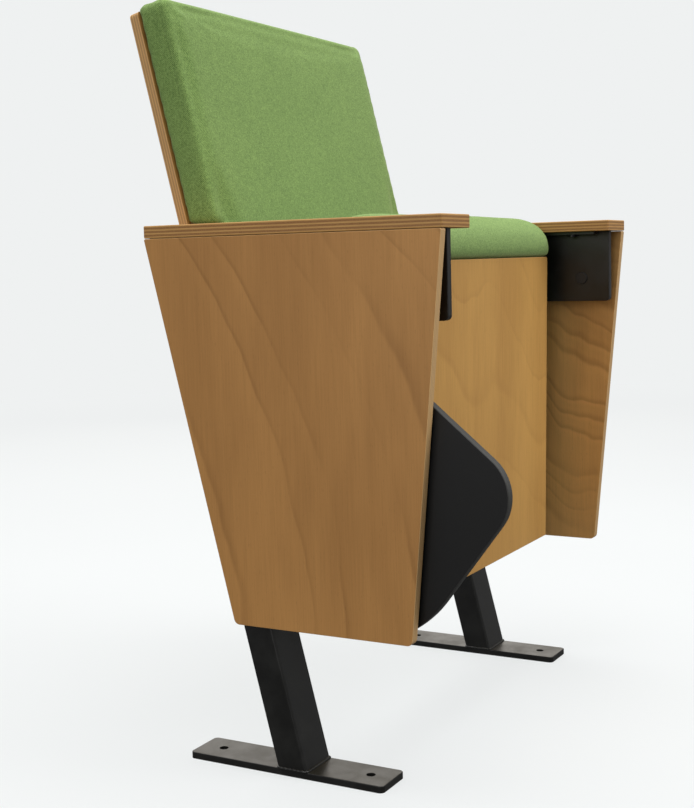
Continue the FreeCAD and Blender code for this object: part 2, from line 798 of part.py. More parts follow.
def main():
    os.makedirs("parts", exist_ok=True)

    pair("foot_plate", foot_plate())
    pair("leg", leg())
    pair("side_panel", side_panel())
    pair("armrest", armrest())
    pair("armrest_rail", armrest_rail())
    pair("panel_angle", panel_angle())
    write("panel_screws", both(panel_screws()))
    write("armrest_screws", both(armrest_screws()))
    write("panel_angle_screws", both(angle_screws()))

    pair("seat_bracket", seat_bracket())
    pair("seat_pivot_pin", seat_pivot_pin())
    pair("thrust_washer", thrust_washer())
    write("retaining_rings", both([retaining_ring()]))
    write("seat_stop_buffers", both(stop_buffers()))
    write("seat_bracket_bolts", both([bracket_bolt(y, z) for y, z in seat_bracket_bolt_places()]))

    pair("seat_hinge_plate", seat_place(seat_hinge_plate()))
    pair("seat_bush", seat_place(seat_bush()))
    pair("return_spring", seat_place(return_spring()))
    write("seat_hinge_screws", both([seat_place(shape) for shape in hinge_screws()]))
    write("seat_underside_panel", seat_place(seat_underside_panel()))
    write("seat_batten_front", seat_place(seat_batten(190)))
    write("seat_batten_rear", seat_place(seat_batten(-160)))
    write("seat_board", seat_place(seat_board()))
    write("seat_cushion", seat_place(seat_cushion()))

    write("backrest_panel", backrest_panel())
    write("backrest_board", backrest_board())
    write("backrest_cushion", backrest_cushion())
    pair("backrest_bracket", backrest_bracket())
    write("backrest_screws", both(backrest_screws()))
    write("backrest_bracket_bolts", both([bracket_bolt(y, z) for y, z in back_bracket_bolt_places()]))

    pivot_bolt = tablet_place(arm_pivot_bolt())
    pin = stop_pin()
    pivoted_plate = mirrored(support_plate()).cut(pivot_bolt).cut(pin)
    plug = pivot_plug()
    write("support_plate_left", support_plate().cut(plug))
    write("pivot_hole_plug", plug)
    write("support_plate_right", pivoted_plate)
    write("tablet_pivot_bolt", pivot_bolt)
    write("tablet_stop_pin", pin)
    write("tablet_pivot_washer", tablet_place(arm_washer()))
    write("tablet_friction_disc", tablet_place(friction_disc()))
    rest_tip, rest_stud = [tablet_place(shape) for shape in tablet_rest()]
    write("tablet_rest_buffer", rest_tip)
    write("tablet_rest_stud", rest_stud.cut(mirrored(leg_envelope())))
    write("tablet_arm", tablet_place(tablet_arm()))
    write("tablet_hinge_pin", tablet_place(fold_pin()))
    write("tablet_board", tablet_place(tablet_board()))
    write("tablet_hinge_leaf", tablet_place(tablet_leaf()))
    write("tablet_leaf_screws", Part.makeCompound([tablet_place(shape) for shape in leaf_screws()]))


def leg_envelope():
    """Everything behind the front face of a leg."""
    x0, x1 = leg_inner - 5, leg_outer + 5
    y0 = front_y + leg_depth_at_floor
    base = plate_xy([(x0, y0, 0), (x1, y0, 0), (x1, y0 + 400, 0), (x0, y0 + 400, 0)], 0, 1).Faces
    floor_face = min(base, key=lambda face: face.CenterOfMass.z)
    return floor_face.extrude(V(0, leg_slope * armrest_top, armrest_top))


main()
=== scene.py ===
"""Looks of a lecture-hall chair: tip-up seat, raked back, wooden sides, black steel, writing tablet.

Everything is in metres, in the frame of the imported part: the origin is on the floor between the
floor bolts, +Z is up, +Y is towards the back and the sitter's right is -X.
"""
import json
import math

import bmesh
import bpy
from mathutils import Matrix, Vector
from mathutils.bvhtree import BVHTree
from mathutils.kdtree import KDTree


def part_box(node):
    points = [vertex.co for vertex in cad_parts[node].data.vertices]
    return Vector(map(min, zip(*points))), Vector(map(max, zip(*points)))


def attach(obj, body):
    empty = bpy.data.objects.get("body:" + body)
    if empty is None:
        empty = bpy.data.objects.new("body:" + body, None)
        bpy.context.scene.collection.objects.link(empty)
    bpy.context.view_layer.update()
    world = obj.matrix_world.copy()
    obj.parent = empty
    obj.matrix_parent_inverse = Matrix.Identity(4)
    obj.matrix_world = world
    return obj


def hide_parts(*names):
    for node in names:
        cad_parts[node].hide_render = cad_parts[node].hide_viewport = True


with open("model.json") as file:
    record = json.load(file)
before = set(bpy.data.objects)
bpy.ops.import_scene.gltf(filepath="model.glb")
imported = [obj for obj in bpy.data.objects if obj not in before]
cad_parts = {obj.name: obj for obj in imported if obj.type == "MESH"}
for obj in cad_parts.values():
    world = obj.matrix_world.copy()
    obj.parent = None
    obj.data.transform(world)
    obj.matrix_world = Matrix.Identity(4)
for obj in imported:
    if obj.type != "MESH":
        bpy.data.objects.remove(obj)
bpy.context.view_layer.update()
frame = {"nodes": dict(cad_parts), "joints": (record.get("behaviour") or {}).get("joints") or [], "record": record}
nodes = frame["nodes"]
scene = bpy.context.scene

MM = 0.001
X_AXIS = Vector((1, 0, 0))
Y_AXIS = Vector((0, 1, 0))
Z_AXIS = Vector((0, 0, 1))


# ---- where things are, read from the frame -------------------------------------------------

def joint_place(name):
    """Position of a joint."""
    return Vector(next(joint["pos_m"] for joint in frame["joints"] if joint["name"] == name))


def board_plane(node):
    """Broad face of a flat board: its normal, and the lowest and highest places along it."""
    mesh = nodes[node].data
    largest = max(mesh.polygons, key=lambda polygon: polygon.area)
    normal = largest.normal.copy()
    if max(normal, key=abs) < 0:
        normal.negate()
    places = [vertex.co.dot(normal) for vertex in mesh.vertices]
    return normal, min(places), max(places)


# ---- materials: a small builder of node graphs ---------------------------------------------

class Graph:
    """Node graph of one material; its methods return output sockets."""

    def __init__(self, name):
        self.material = bpy.data.materials.new(name)
        self.material.use_nodes = True
        self.tree = self.material.node_tree
        self.tree.nodes.clear()
        coordinates = self.tree.nodes.new("ShaderNodeTexCoord")
        self.place = coordinates.outputs["Object"]
        self.normal = coordinates.outputs["Normal"]

    def feed(self, socket, value):
        """Link an output to an input, or set the input's value."""
        if isinstance(value, bpy.types.NodeSocket):
            self.tree.links.new(value, socket)
        else:
            socket.default_value = value

    def math(self, operation, first, second=0.0, third=0.0, clamp=False):
        node = self.tree.nodes.new("ShaderNodeMath")
        node.operation = operation
        node.use_clamp = clamp
        for socket, value in zip(node.inputs, (first, second, third)):
            self.feed(socket, value)
        return node.outputs[0]

    def dot(self, vector, axis):
        node = self.tree.nodes.new("ShaderNodeVectorMath")
        node.operation = "DOT_PRODUCT"
        self.feed(node.inputs[0], vector)
        node.inputs[1].default_value = axis
        return node.outputs["Value"]

    def length(self, vector):
        node = self.tree.nodes.new("ShaderNodeVectorMath")
        node.operation = "LENGTH"
        self.feed(node.inputs[0], vector)
        return node.outputs["Value"]

    def vector(self, x, y, z):
        node = self.tree.nodes.new("ShaderNodeCombineXYZ")
        for socket, value in zip(node.inputs, (x, y, z)):
            self.feed(socket, value)
        return node.outputs[0]

    def noise(self, vector, scale=1.0, detail=2.0, distortion=0.0, roughness=0.5):
        node = self.tree.nodes.new("ShaderNodeTexNoise")
        self.feed(node.inputs["Vector"], vector)
        node.inputs["Scale"].default_value = scale
        node.inputs["Detail"].default_value = detail
        node.inputs["Roughness"].default_value = roughness
        node.inputs["Distortion"].default_value = distortion
        return node.outputs["Fac"]

    def streaks(self, u, v, seed, per_u, per_v, **settings):
        """Noise with its own fineness along each of two directions, per metre."""
        place = self.vector(self.math("MULTIPLY", u, per_u), self.math("MULTIPLY", v, per_v), seed)
        return self.noise(place, **settings)

    def spread(self, value, low, high, to_low=0.0, to_high=1.0):
        """Stretch a range to another, with smooth ends."""
        node = self.tree.nodes.new("ShaderNodeMapRange")
        node.interpolation_type = "SMOOTHSTEP"
        self.feed(node.inputs["Value"], value)
        limits = {"From Min": low, "From Max": high, "To Min": to_low, "To Max": to_high}
        for socket, number in limits.items():
            node.inputs[socket].default_value = number
        return node.outputs["Result"]

    def mix(self, factor, first, second):
        node = self.tree.nodes.new("ShaderNodeMix")
        node.data_type = "RGBA"
        self.feed(node.inputs[0], factor)
        self.feed(node.inputs[6], first)
        self.feed(node.inputs[7], second)
        return node.outputs[2]

    def bump(self, height, depth):
        """Bumps of a depth in metres, for heights from 0 to 1."""
        node = self.tree.nodes.new("ShaderNodeBump")
        node.inputs["Strength"].default_value = 1.0
        node.inputs["Distance"].default_value = depth
        self.feed(node.inputs["Height"], height)
        return node.outputs[0]

    def surface(self, **inputs):
        """Finish with a principled surface; input names have _ for spaces."""
        shader = self.tree.nodes.new("ShaderNodeBsdfPrincipled")
        for name, value in inputs.items():
            self.feed(shader.inputs[name.replace("_", " ")], value)
        output = self.tree.nodes.new("ShaderNodeOutputMaterial")
        self.tree.links.new(shader.outputs[0], output.inputs["Surface"])
        return self.material


def colour(red, green, blue):
    """Linear colour from display values of 0 to 255."""
    def linear(value):
        share = value / 255
        return share / 12.92 if share <= 0.04045 else ((share + 0.055) / 1.055) ** 2.4
    return (linear(red), linear(green), linear(blue), 1.0)


# ---- wood ----------------------------------------------------------------------------------

LONG_GRAIN = (colour(205, 158, 94), colour(184, 138, 80))
END_GRAIN = (colour(168, 122, 70), colour(138, 97, 54))
GLUE_LINE = colour(94, 65, 38)
SANDED = colour(240, 204, 150)
PORE = colour(92, 60, 30)
MIDDLE = (0.30, 0.70)
WIDER_MIDDLE = (0.25, 0.75)


def veneer_figure(graph, u, v, seed, lean, rise, bow, level, spacing, wander, sway, line, fade):
    """Growth lines of rotary-cut veneer: below 0 on a dark line, above 0 on the light side before it.

    The lines run where lean * u + rise * v + bow * (v - level)^2 is a multiple of the spacing,
    pushed about by up to wander. sway is how often they sway across and along the grain, line is
    the share of the spacing that the dark line takes, and fade is what is left of the lines in the
    quiet patches.
    """
    ripple_share = 0.10
    unevenness = 1.9
    drift = graph.streaks(u, v, seed, sway[0], sway[1], detail=2.0, roughness=0.4)
    ripple = graph.streaks(u, v, seed + 2, 22.0, 15.0, detail=3.0)
    above = graph.math("SUBTRACT", v, level)
    field = graph.math("MULTIPLY_ADD", u, lean, graph.math("MULTIPLY", v, rise))
    field = graph.math("MULTIPLY_ADD", graph.math("MULTIPLY", above, above), bow, field)
    field = graph.math("MULTIPLY_ADD", drift, wander, field)
    field = graph.math("MULTIPLY_ADD", ripple, wander * ripple_share, field)
    uneven = graph.noise(graph.vector(graph.math("MULTIPLY", field, 0.6 / spacing), seed, 0.0), detail=0.0)
    turns = graph.math("MULTIPLY_ADD", uneven, unevenness, graph.math("DIVIDE", field, spacing))
    ring = graph.math("FRACT", turns)

    # ring runs from 0 on a dark line to 1 on the next, where the shade comes back to its start
    darkest = graph.spread(ring, 0.0, line, -1.0, 0.0)
    fading = graph.spread(ring, 0.0, 0.45, -0.30, 0.0)
    light_side = graph.spread(ring, 0.55, 1.0 - line / 2, 0.0, 0.50)
    closing = graph.spread(ring, 1.0 - line / 2, 1.0, 0.0, -1.8)
    dark, light = graph.math("ADD", darkest, fading), graph.math("ADD", light_side, closing)
    total = graph.math("ADD", dark, light)
    patchy = graph.streaks(u, v, seed + 9, 6.0, 3.5)
    return graph.math("MULTIPLY", total, graph.spread(patchy, 0.38, 0.60, fade, 1.0))


def veneer(graph, u, v, seed, tones, strength, figure):
    """Colour of one face veneer; tones are its light and dark display colours."""
    lines = veneer_figure(graph, u, v, seed, **figure)
    broad = graph.streaks(u, v, seed + 3, 9.0, 2.4, detail=3.0, roughness=0.55)
    stripe = graph.streaks(u, v, seed + 5, 70.0, 1.6, detail=3.0)
    shade = graph.math("MULTIPLY", lines, -strength)
    shade = graph.math("ADD", shade, graph.spread(broad, *MIDDLE, 0.04, 0.34))
    shade = graph.math("ADD", shade, graph.spread(stripe, *MIDDLE, 0.0, 0.08), clamp=True)
    light, dark = [colour(*tone) for tone in tones]
    return graph.mix(shade, light, dark)


def plywood(node, grain, front, back, paleness, plies=7):
    """Veneered plywood: figured veneer on the broad faces, layered plies round the edges.

    grain is the direction of the veneers. front is (seed, tones, strength, figure) of the veneer
    that faces along +X, +Y or +Z, and back of the one that faces the other way. paleness is
    how far the sanded edge is lighter than a raw one.
    """
    normal, low, high = board_plane(node)
    grain = (Vector(grain) - normal * normal.dot(Vector(grain))).normalized()
    across = normal.cross(grain)
    graph = Graph("plywood_" + node)
    u = graph.dot(graph.place, across)
    v = graph.dot(graph.place, grain)
    depth = graph.math("SUBTRACT", graph.dot(graph.place, normal), low)
    facing = graph.dot(graph.normal, normal)
    in_front = graph.spread(facing, -0.1, 0.1)
    faces = graph.mix(in_front, veneer(graph, u, v, *back), veneer(graph, u, v, *front))
    fine = graph.streaks(u, v, 7.0, 640.0, 14.0, detail=3.0, roughness=0.6)
    fleck = graph.spread(graph.streaks(u, v, 1.0, 900.0, 130.0, detail=1.0), 0.64, 0.76)
    pore = graph.math("MULTIPLY_ADD", fleck, 0.16, graph.spread(fine, 0.30, 0.75, 0.0, 0.12))
    faces = graph.mix(pore, faces, PORE)

    # plies: layers of turning grain, with a thin dark glue line between them
    layer = graph.math("DIVIDE", depth, (high - low) / plies)
    turned = graph.math("MODULO", graph.math("FLOOR", layer), 2.0)
    glue = graph.spread(graph.math("PINGPONG", layer, 0.5), 0.0, 0.12, 1.0, 0.0)
    along = graph.math("ADD", u, v)
    streak = graph.streaks(depth, along, 1.0, 1500.0, 26.0, detail=3.0)
    pores = graph.streaks(depth, along, 3.0, 900.0, 700.0, detail=2.0)
    long_grain = graph.mix(graph.spread(streak, *WIDER_MIDDLE), *LONG_GRAIN)
    end_grain = graph.mix(graph.spread(pores, *WIDER_MIDDLE), *END_GRAIN)
    edge = graph.mix(turned, long_grain, end_grain)
    broken = graph.streaks(depth, along, 5.0, 500.0, 12.0)
    seen_glue = graph.math("MULTIPLY", glue, graph.spread(broken, *MIDDLE, 0.10, 0.60))
    edge = graph.mix(seen_glue, edge, GLUE_LINE)
    edge = graph.mix(paleness, edge, SANDED)

    on_face = graph.spread(graph.math("ABSOLUTE", facing), 0.80, 0.92)
    shown = graph.mix(on_face, edge, faces)
    face_relief = graph.math("MULTIPLY_ADD", fleck, -0.6, graph.math("MULTIPLY", fine, 0.7))
    edge_relief = graph.math("MULTIPLY_ADD", glue, -0.7, graph.math("MULTIPLY", pores, 0.8))
    relief = graph.mix(on_face, graph.vector(edge_relief, edge_relief, edge_relief),
                       graph.vector(face_relief, face_relief, face_relief))
    gloss = graph.spread(fine, 0.2, 0.8, 0.40, 0.54)
    return graph.surface(Base_Color=shown, Roughness=gloss, Normal=graph.bump(relief, 0.06 * MM),
                         Specular_IOR_Level=0.30)


def raw_ply():
    """Inner boards and battens of unfinished plywood."""
    graph = Graph("raw_plywood")
    streak = graph.noise(graph.place, scale=60.0, detail=4.0, distortion=1.5)
    blotch = graph.noise(graph.place, scale=9.0, detail=2.0)
    shade = graph.spread(streak, *MIDDLE, 0.0, 0.6)
    shade = graph.math("ADD", shade, graph.spread(blotch, *MIDDLE, 0.0, 0.4))
    shown = graph.mix(shade, colour(214, 182, 138), colour(168, 128, 84))
    return graph.surface(Base_Color=shown, Roughness=0.75, Normal=graph.bump(streak, 0.1 * MM))


# ---- fabric --------------------------------------------------------------------------------

def woven_fabric(name, light, dark):
    """Crepe weave: crossing threads, mottled yarn and a soft sheen."""
    pitch = 2.3 * MM
    graph = Graph(name)
    turn = 2 * math.pi / pitch
    threads = []
    for axis in (X_AXIS, Y_AXIS, Z_AXIS):
        along = graph.math("MULTIPLY", graph.dot(graph.place, axis), turn)
        threads.append(graph.math("SINE", along))
    weights = []
    for axis in (X_AXIS, Y_AXIS, Z_AXIS):
        facing = graph.math("ABSOLUTE", graph.dot(graph.normal, axis))
        weights.append(graph.math("POWER", facing, 4.0))
    total = graph.math("ADD", graph.math("ADD", weights[0], weights[1]), weights[2])
    weave = 0.0
    for index, weight in enumerate(weights):
        crossing = graph.math("MULTIPLY", threads[(index + 1) % 3], threads[(index + 2) % 3])
        weave = graph.math("ADD", weave, graph.math("MULTIPLY", crossing, weight))
    weave = graph.math("DIVIDE", weave, total)
    yarn = graph.noise(graph.place, scale=620.0, detail=2.0, roughness=0.6)
    slub = graph.noise(graph.place, scale=150.0, detail=3.0, distortion=0.6)
    pile = graph.noise(graph.place, scale=7.0, detail=2.0)
    shade = graph.math("MULTIPLY", weave, 0.42)
    shade = graph.math("ADD", shade, graph.spread(yarn, *MIDDLE, 0.08, 0.66))
    shade = graph.math("ADD", shade, graph.spread(slub, *MIDDLE, 0.0, 0.12))
    shade = graph.math("ADD", shade, graph.spread(pile, *MIDDLE, 0.0, 0.08), clamp=True)
    shown = graph.mix(shade, colour(*light), colour(*dark))
    relief = graph.math("ADD", graph.math("MULTIPLY", weave, 0.5), yarn)
    return graph.surface(Base_Color=shown, Roughness=0.92, Normal=graph.bump(relief, 0.28 * MM),
                         Sheen_Weight=0.32, Sheen_Roughness=0.45, Sheen_Tint=colour(226, 240, 190),
                         Specular_IOR_Level=0.25)


# ---- steel, plastic and rubber ---------------------------------------------------------------

def powder_coat():
    """Black powder coat: orange-peel skin, with a painted beige reflection on the faces that look up."""
    graph = Graph("powder_coat")
    peel = graph.noise(graph.place, scale=900.0, detail=2.0)
    cloud = graph.noise(graph.place, scale=26.0, detail=4.0, roughness=0.65)
    speck = graph.spread(graph.noise(graph.place, scale=2400.0, detail=1.0), 0.66, 0.78)
    base = graph.mix(graph.spread(cloud, 0.35, 0.75), colour(16, 16, 14), colour(24, 24, 21))
    base = graph.mix(graph.math("MULTIPLY", speck, 0.18), base, colour(96, 94, 88))
    # painted reflection: faces that look up are mixed towards beige, patchy with the cloud noise
    looks_up = graph.spread(graph.dot(graph.normal, Z_AXIS), 0.75, 0.98)
    painted_top_reflection = graph.math("MULTIPLY", looks_up, graph.spread(cloud, 0.25, 0.80, 0.35, 1.0))
    shown = graph.mix(painted_top_reflection, base, colour(50, 44, 32))
    gloss = graph.spread(cloud, 0.3, 0.7, 0.30, 0.44)
    return graph.surface(Base_Color=shown, Roughness=gloss, Normal=graph.bump(peel, 0.06 * MM))


def zinc_steel():
    """Zinc-plated fasteners and pins."""
    graph = Graph("zinc_steel")
    brushed = graph.noise(graph.place, scale=700.0, detail=3.0)
    cloud = graph.noise(graph.place, scale=60.0, detail=2.0)
    shown = graph.mix(cloud, colour(196, 198, 200), colour(150, 152, 156))
    gloss = graph.spread(brushed, 0.2, 0.8, 0.26, 0.42)
    return graph.surface(Base_Color=shown, Metallic=1.0, Roughness=gloss,
                         Normal=graph.bump(brushed, 0.03 * MM))


def moulded(name, tone, rough):
    """Moulded nylon or rubber, with a fine spark-eroded skin."""
    cloud_step = 10
    graph = Graph(name)
    skin = graph.noise(graph.place, scale=1600.0, detail=2.0)
    cloud = graph.noise(graph.place, scale=40.0, detail=2.0)
    shown = graph.mix(cloud, colour(*tone), colour(*[value + cloud_step for value in tone]))
    return graph.surface(Base_Color=shown, Roughness=rough, Normal=graph.bump(skin, 0.06 * MM))


def tablet_laminate():
    """Black laminate faces, with the edges painted a lighter charcoal grey as a painted highlight."""
    normal = board_plane("tablet_board")[0]
    graph = Graph("tablet_laminate")
    facing = graph.math("ABSOLUTE", graph.dot(graph.normal, normal))
    on_face = graph.spread(facing, 0.90, 0.985)
    grain = graph.noise(graph.place, scale=1300.0, detail=2.0)
    smear = graph.noise(graph.place, scale=14.0, detail=3.0, distortion=0.5)
    face = graph.mix(graph.spread(smear, 0.35, 0.75), colour(9, 9, 9), colour(13, 13, 13))
    # painted highlight: the edges get a charcoal grey, much lighter than the black faces
    painted_edge_highlight = graph.mix(grain, colour(52, 52, 50), colour(72, 72, 69))
    shown = graph.mix(on_face, painted_edge_highlight, face)
    gloss = graph.spread(smear, 0.3, 0.7, 0.46, 0.58)
    return graph.surface(Base_Color=shown, Roughness=gloss, Normal=graph.bump(grain, 0.05 * MM),
                         Specular_IOR_Level=0.38)


# ---- meshes --------------------------------------------------------------------------------

def new_object(name, mesh, material):
    """Object of a mesh, in the scene, with one material."""
    mesh.name = name
    mesh.materials.clear()
    mesh.materials.append(material)
    piece = bpy.data.objects.new(name, mesh)
    scene.collection.objects.link(piece)
    for polygon in mesh.polygons:
        polygon.use_smooth = True
    return piece


def apply_modifiers(piece):
    """Bake a piece's modifiers into its mesh."""
    depsgraph = bpy.context.evaluated_depsgraph_get()
    baked = bpy.data.meshes.new_from_object(piece.evaluated_get(depsgraph))
    old = piece.data
    piece.modifiers.clear()
    piece.data = baked
    bpy.data.meshes.remove(old)
    for polygon in baked.polygons:
        polygon.use_smooth = True


def remeshed_copy(name, node, material, voxel):
    """Even skin over a soft CAD node."""
    piece = new_object(name, nodes[node].data.copy(), material)
    remesh = piece.modifiers.new("skin", "REMESH")
    remesh.mode = "VOXEL"
    remesh.voxel_size = voxel
    remesh.adaptivity = 0.0
    smooth = piece.modifiers.new("settle", "SMOOTH")
    smooth.factor = 0.5
    smooth.iterations = 2
    apply_modifiers(piece)
    piece.data.materials.clear()
    piece.data.materials.append(material)
    return piece


def inflate(piece, held, limit, give, pressure=4.0, last_frame=20):
    """Swell a closed cover by cloth simulation. held picks the points that the boards hold.

    limit is how far a point may move along each axis, and give how far it may sink inwards.
    """
    rest = [vertex.co.copy() for vertex in piece.data.vertices]
    outward = [vertex.normal.copy() for vertex in piece.data.vertices]
    group = piece.vertex_groups.new(name="held")
    group.add([index for index, place in enumerate(rest) if held(place)], 1.0, "REPLACE")
    cloth = piece.modifiers.new("swell", "CLOTH")
    cloth.settings.vertex_group_mass = "held"
    cloth.settings.use_pressure = True
    cloth.settings.uniform_pressure_force = pressure
    cloth.settings.effector_weights.gravity = 0.0
    cloth.settings.quality = 5
    cloth.settings.mass = 0.3
    cloth.settings.tension_stiffness = 15.0
    cloth.settings.compression_stiffness = 15.0
    cloth.settings.shear_stiffness = 5.0
    cloth.settings.bending_stiffness = 0.6
    cloth.collision_settings.use_collision = False
    cloth.collision_settings.use_self_collision = False
    cloth.point_cache.frame_start = 1
    cloth.point_cache.frame_end = last_frame
    for number in range(1, last_frame + 1):
        scene.frame_set(number)
    evaluated = piece.evaluated_get(bpy.context.evaluated_depsgraph_get())
    swollen = [vertex.co.copy() for vertex in evaluated.data.vertices]
    piece.modifiers.clear()
    piece.vertex_groups.clear()
    scene.frame_set(1)
    for vertex, start, end, normal in zip(piece.data.vertices, rest, swollen, outward):
        step = end - start
        step = step - normal * min(0.0, step.dot(normal) + give)
        vertex.co = start + Vector([max(-cap, min(cap, share)) for cap, share in zip(limit, step)])


def fill_out(piece, chosen, amount):
    """Move the chosen points out of the surface, to make good what smoothing takes away."""
    moves = [vertex.normal * amount if chosen(vertex.co) else Vector() for vertex in piece.data.vertices]
    for vertex, move in zip(piece.data.vertices, moves):
        vertex.co = vertex.co + move


def subdivide_once(piece):
    """Smooth the surface and halve its mesh once."""
    smooth = piece.modifiers.new("settle", "SMOOTH")
    smooth.factor = 0.5
    smooth.iterations = 3
    subdivision = piece.modifiers.new("rounding", "SUBSURF")
    subdivision.levels = 1
    subdivision.render_levels = 1
    apply_modifiers(piece)


# ---- cushions ------------------------------------------------------------------------------

COVER_VOXEL = 5.0 * MM


def backrest_cushion(fabric, thread):
    """Upholstered front of the backrest, held flat against its board, with a stitched edge."""
    grip = 9 * MM
    top_band = 12 * MM
    seam_inset = 8 * MM
    seam_bottom = -0.165
    corner = 16 * MM
    normal = board_plane("backrest_panel")[0]
    up = (Z_AXIS - normal * normal.dot(Z_AXIS)).normalized()
    out = normal if normal.y < 0 else -normal
    face = max(vertex.co.dot(out) for vertex in nodes["backrest_panel"].data.vertices)
    solid = [vertex.co for vertex in nodes["backrest_cushion"].data.vertices]
    front = max(place.dot(out) for place in solid)
    top = max(place.dot(up) for place in solid)
    half = max(place.x for place in solid)
    piece = remeshed_copy("backrest_cushion_cover", "backrest_cushion", fabric, COVER_VOXEL)

    def held(place):
        return place.dot(out) - face < grip

    inflate(piece, held, (2 * MM, 5 * MM, 3 * MM), 1.5 * MM)
    fill_out(piece, lambda place: place.dot(up) > top - top_band, 1.0 * MM)
    subdivide_once(piece)
    seam = front - seam_inset
    path = [(-half, seam_bottom), (-half, -corner)]
    path += [(-half + corner * (1 - math.cos(turn)), corner * (math.sin(turn) - 1))
             for turn in (math.radians(angle) for angle in range(15, 91, 15))]
    path += [(-x, rise) for x, rise in reversed(path)]
    guide = [X_AXIS * x + out * seam + up * (top + rise) for x, rise in path]
    stitched_seam("backrest_seam", piece, guide, thread, "frame")
    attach(piece, "frame")
    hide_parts("backrest_cushion")


def seat_cushion(fabric):
    """Seat cushion with a full nose, wrapped over the end of the plywood."""
    nose = 221 * MM
    piece = remeshed_copy("seat_cushion_cover", "seat_cushion", fabric, COVER_VOXEL)
    pivot = joint_place("seat_tip")
    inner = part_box("seat_board")[1].x + 4 * MM

    def held(place):
        """Points on the inner board, round the hinge and against the plywood."""
        offset = place - pivot
        inside = abs(place.x) < inner and offset.y < 50 * MM and -170 * MM < offset.z < 226 * MM
        by_hinge = abs(offset.z) < 72 * MM and offset.y < 58 * MM
        by_board = offset.y < -10 * MM and offset.z < 232 * MM
        return inside or by_hinge or by_board

    inflate(piece, held, (2.6 * MM, 8 * MM, 2.5 * MM), 4 * MM)
    fill_out(piece, lambda place: place.z - pivot.z > nose, 2.0 * MM)
    subdivide_once(piece)
    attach(piece, "seat")
    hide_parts("seat_cushion")


def evenly_spaced(path, step):
    """Points a step apart along a run of straight lines, with their directions."""
    spots = []
    spare = 0.0
    for start, end in zip(path, path[1:]):
        length = (end - start).length
        direction = (end - start) / length
        while spare < length:
            spots.append((start + direction * spare, direction))
            spare += step
        spare -= length
    return spots


def stitched_seam(name, cover, guide, thread, body):
    """Sewn seam near a guide line: the cover dips along it and short stitches lie in the dip."""
    dip_reach = 5 * MM
    dip_depth = 1.1 * MM
    stitch_pitch = 4.5 * MM
    stitch_half = (1.5 * MM, 0.55 * MM, 0.45 * MM)
    stitch_proud = 0.12 * MM
    mesh = cover.data
    skin = BVHTree.FromPolygons([vertex.co for vertex in mesh.vertices],
                                [polygon.vertices for polygon in mesh.polygons])
    line = [skin.find_nearest(place)[0] for place, _ in evenly_spaced(guide, 1.5 * MM)]
    tree = KDTree(len(line))
    for index, place in enumerate(line):
        tree.insert(place, index)
    tree.balance()
    dips = []
    for vertex in mesh.vertices:
        distance = tree.find(vertex.co)[2]
        share = max(0.0, 1 - distance / dip_reach)
        dips.append(vertex.normal * (-dip_depth * share * share))
    for vertex, dip in zip(mesh.vertices, dips):
        vertex.co = vertex.co + dip
    skin = BVHTree.FromPolygons([vertex.co for vertex in mesh.vertices],
                                [polygon.vertices for polygon in mesh.polygons])
    stitches = bmesh.new()
    for start, direction in evenly_spaced(line, stitch_pitch):
        place, normal = skin.find_nearest(start)[:2]
        across = normal.cross(direction).normalized()
        along = across.cross(normal)
        radii = [axis * half for axis, half in zip((along, across, normal), stitch_half)]
        axes = Matrix(radii).transposed().to_4x4()
        spot = Matrix.Translation(place + normal * stitch_proud) @ axes
        bmesh.ops.create_uvsphere(stitches, u_segments=8, v_segments=6, radius=1.0, matrix=spot)
    data = bpy.data.meshes.new(name)
    stitches.to_mesh(data)
    stitches.free()
    piece = new_object(name, data, thread)
    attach(piece, body)


# ---- welds ---------------------------------------------------------------------------------

def weld_bead(name, points, radius, material):
    """Rippled bead along a closed run of points."""
    mesh = bmesh.new()
    ring_size = 10
    rings = []
    count = len(points)
    for index, point in enumerate(points):
        ahead = (points[(index + 1) % count] - points[index - 1]).normalized()
        side = ahead.cross(Z_AXIS).normalized()
        size = radius * (1 + 0.13 * math.sin(index * 1.7) + 0.05 * math.sin(index * 0.37))
        ring = []
        for step in range(ring_size):
            angle = 2 * math.pi * step / ring_size
            sideways = side * (size * math.cos(angle))
            upward = Z_AXIS * (size * math.sin(angle))
            ring.append(mesh.verts.new(point + sideways + upward))
        rings.append(ring)
    for index in range(count):
        first, second = rings[index], rings[(index + 1) % count]
        for step in range(ring_size):
            following = (step + 1) % ring_size
            mesh.faces.new((first[step], first[following], second[following], second[step]))
    bmesh.ops.recalc_face_normals(mesh, faces=mesh.faces)
    data = bpy.data.meshes.new(name)
    mesh.to_mesh(data)
    mesh.free()
    piece = new_object(name, data, material)
    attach(piece, "frame")


def foot_welds(material):
    """Fillet weld round the bottom of each leg."""
    bead_radius = 1.7 * MM
    bead_rise = 0.4 * MM
    leg_corner = 3 * MM
    point_step = 1.6 * MM
    for side in ("left", "right"):
        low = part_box("leg_" + side)[0]
        places = [vertex.co for vertex in nodes["leg_" + side].data.vertices]
        base = [place for place in places if place.z < low.z + 0.1 * MM]
        x0, x1 = min(p.x for p in base), max(p.x for p in base)
        y0, y1 = min(p.y for p in base), max(p.y for p in base)
        middle = Vector(((x0 + x1) / 2, (y0 + y1) / 2, low.z + bead_rise))
        half_x, half_y = (x1 - x0) / 2, (y1 - y0) / 2
        points = rounded_loop(middle, half_x, half_y, leg_corner, point_step)
        weld_bead("leg_weld_" + side, points, bead_radius, material)


